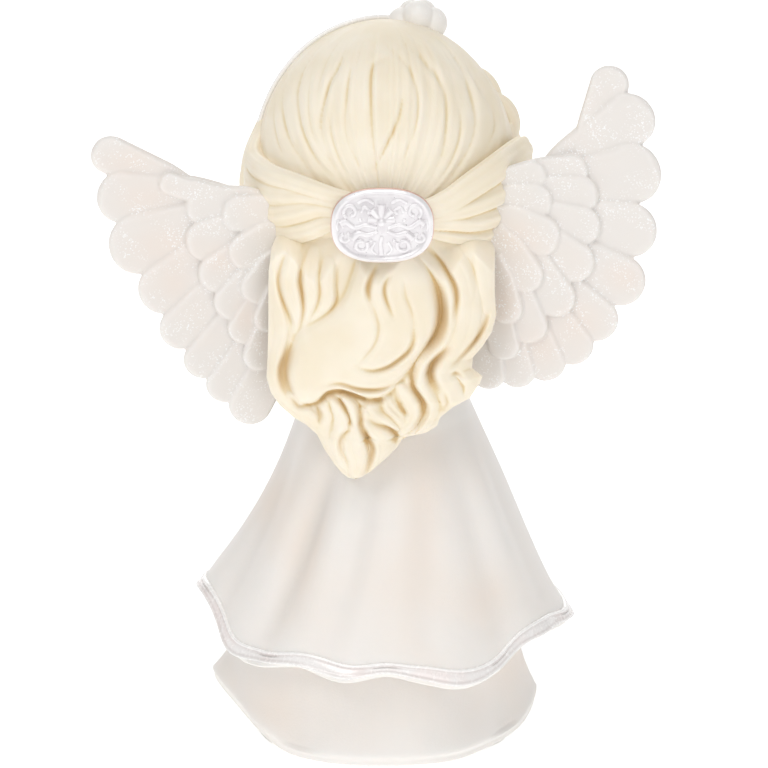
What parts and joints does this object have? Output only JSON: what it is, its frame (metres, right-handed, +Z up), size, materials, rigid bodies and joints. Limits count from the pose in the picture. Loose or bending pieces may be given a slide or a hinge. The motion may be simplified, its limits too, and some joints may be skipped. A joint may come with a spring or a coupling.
{
  "type": "resin angel figurine",
  "caption": "Standing angel statuette in a two-tier gown with raised feather wings, a large head with long wavy hair and a barrette, on a flat felt base.",
  "frame": {"origin": "centre of the felt's underside, on the surface that the figure stands on", "axes": "+Z up, -Y the way the figure faces, +X the figure's own left"},
  "size_m": [0.1053, 0.0666, 0.1393],
  "materials": {
    "felt": "short pressed wool felt, off-white",
    "gown_paint": "satin pearl-white paint over resin, with soft peach tints",
    "pearl_trim": "glossy silver-white pearl paint with a faint lilac sheen",
    "rose_gold": "thin painted line of metallic rose gold",
    "skin": "matt warm skin paint over resin, blushed at the cheeks",
    "hair_paint": "matt cream-blonde paint with a golden wash in the grooves",
    "glitter_white": "off-white paint under a coat of fine iridescent glitter",
    "steel": "bare drawn steel rod"
  },
  "bodies": {
    "root": {"base_felt": "felt", "underskirt": "gown_paint", "overskirt": "gown_paint", "hem_ribbon": "pearl_trim", "bodice": "gown_paint", "neck_trim": "pearl_trim", "sleeve_left": "gown_paint", "sleeve_right": "gown_paint", "cuff_left": "pearl_trim", "cuff_right": "pearl_trim", "hand_left": "skin", "hand_right": "skin", "neck": "skin", "neck_dowel": "steel", "head": "skin", "hair_crown": "hair_paint", "back_hair": "hair_paint", "twist_left": "hair_paint", "twist_right": "hair_paint", "side_lock_left": "hair_paint", "side_lock_right": "hair_paint", "fringe_left": "hair_paint", "fringe_right": "hair_paint", "barrette_plate": "pearl_trim", "barrette_rim": "rose_gold", "barrette_filigree": "pearl_trim", "headband": "pearl_trim", "flower_petals": "glitter_white", "flower_heart": "pearl_trim", "wing_left": "glitter_white", "wing_right": "glitter_white", "wing_pin_left": "steel", "wing_pin_right": "steel"}
  },
  "joints": []
}
